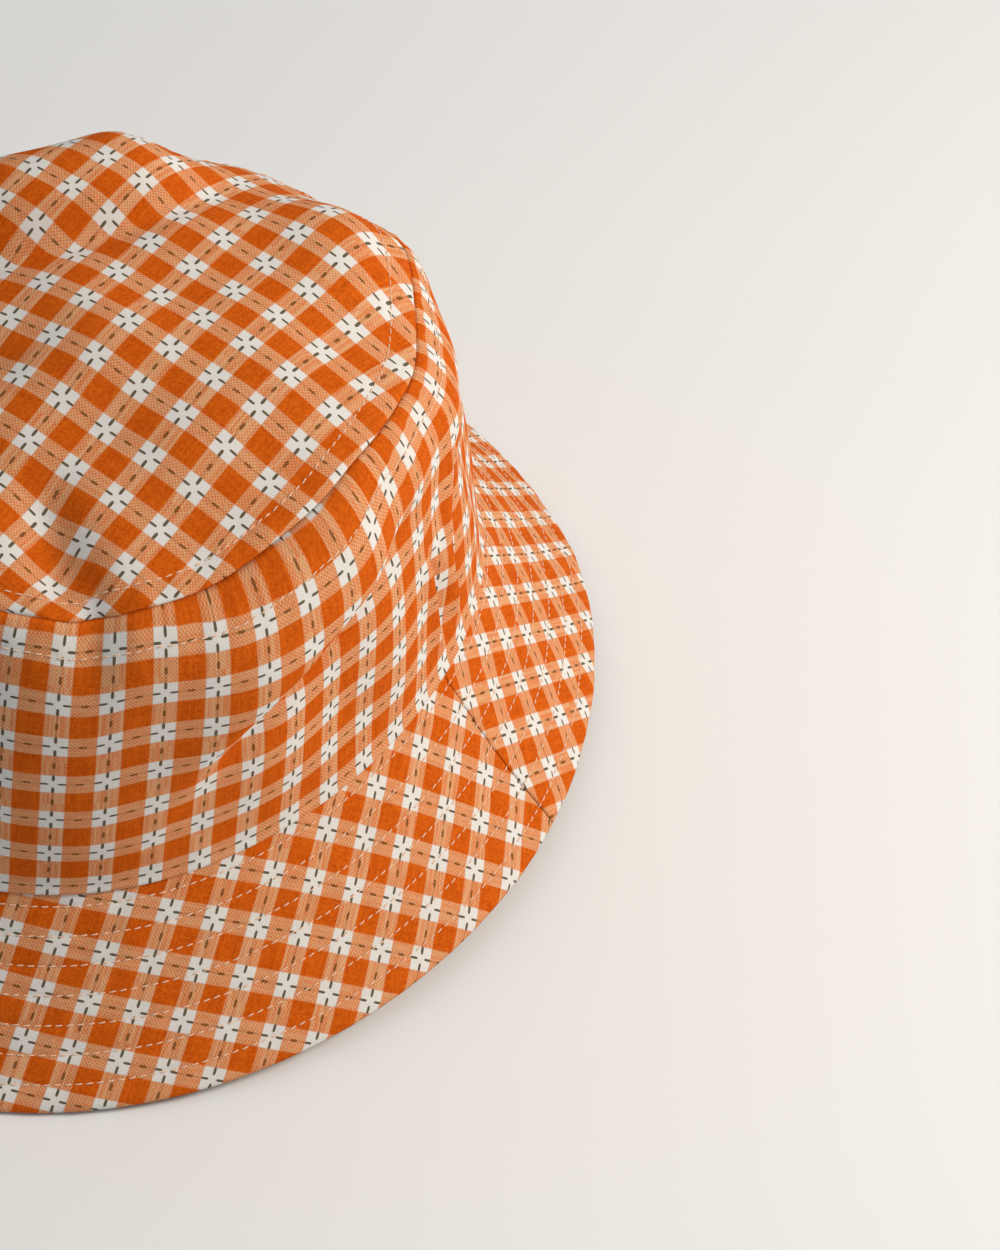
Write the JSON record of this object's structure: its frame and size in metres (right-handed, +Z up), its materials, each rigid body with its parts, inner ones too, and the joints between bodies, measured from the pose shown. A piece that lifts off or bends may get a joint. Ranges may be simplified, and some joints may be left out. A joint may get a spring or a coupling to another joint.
{
  "type": "bucket hat",
  "caption": "Soft woven check bucket hat with an oval crown top, a side band and a downward-sloping brim with concentric rows of stitching.",
  "frame": {"origin": "on the surface the brim stands on, under the middle of the brim's outline", "axes": "+Z up through the crown, -Y towards the wearer's forehead, +X towards the wearer's left ear"},
  "size_m": [0.233, 0.2694, 0.1342],
  "materials": {
    "check_cloth": "yarn-dyed orange and white gingham with dark dashes, matt woven cotton",
    "interlining": "stiff off-white canvas",
    "lining_cloth": "plain cream cotton",
    "sweatband_twill": "cream cotton twill tape",
    "thread": "pale peach spun thread",
    "label_cloth": "blank off-white satin ribbon"
  },
  "bodies": {
    "hat": {"crown_top": "check_cloth", "crown_band": "check_cloth", "brim_top_front": "check_cloth", "brim_top_back": "check_cloth", "brim_under_front": "check_cloth", "brim_under_back": "check_cloth", "brim_interlining_front": "interlining", "brim_interlining_back": "interlining", "lining_top": "lining_cloth", "lining_band": "lining_cloth", "sweatband": "sweatband_twill", "brim_stitch_1": "thread", "brim_stitch_2": "thread", "brim_stitch_3": "thread", "brim_stitch_4": "thread", "brim_stitch_5": "thread", "brim_stitch_6": "thread", "brim_stitch_7": "thread", "crown_top_stitch": "thread", "crown_band_stitch": "thread", "sweatband_stitch": "thread", "care_label_stitch": "thread"},
    "care_label": {"care_label": "label_cloth"}
  },
  "joints": [
    {"name": "care_label_hinge", "type": "hinge", "parent": "hat", "child": "care_label", "pos_m": [0, 0.07986, 0.08373], "axis": [-1, 0, 0], "range_deg": [-15, 120]}
  ]
}
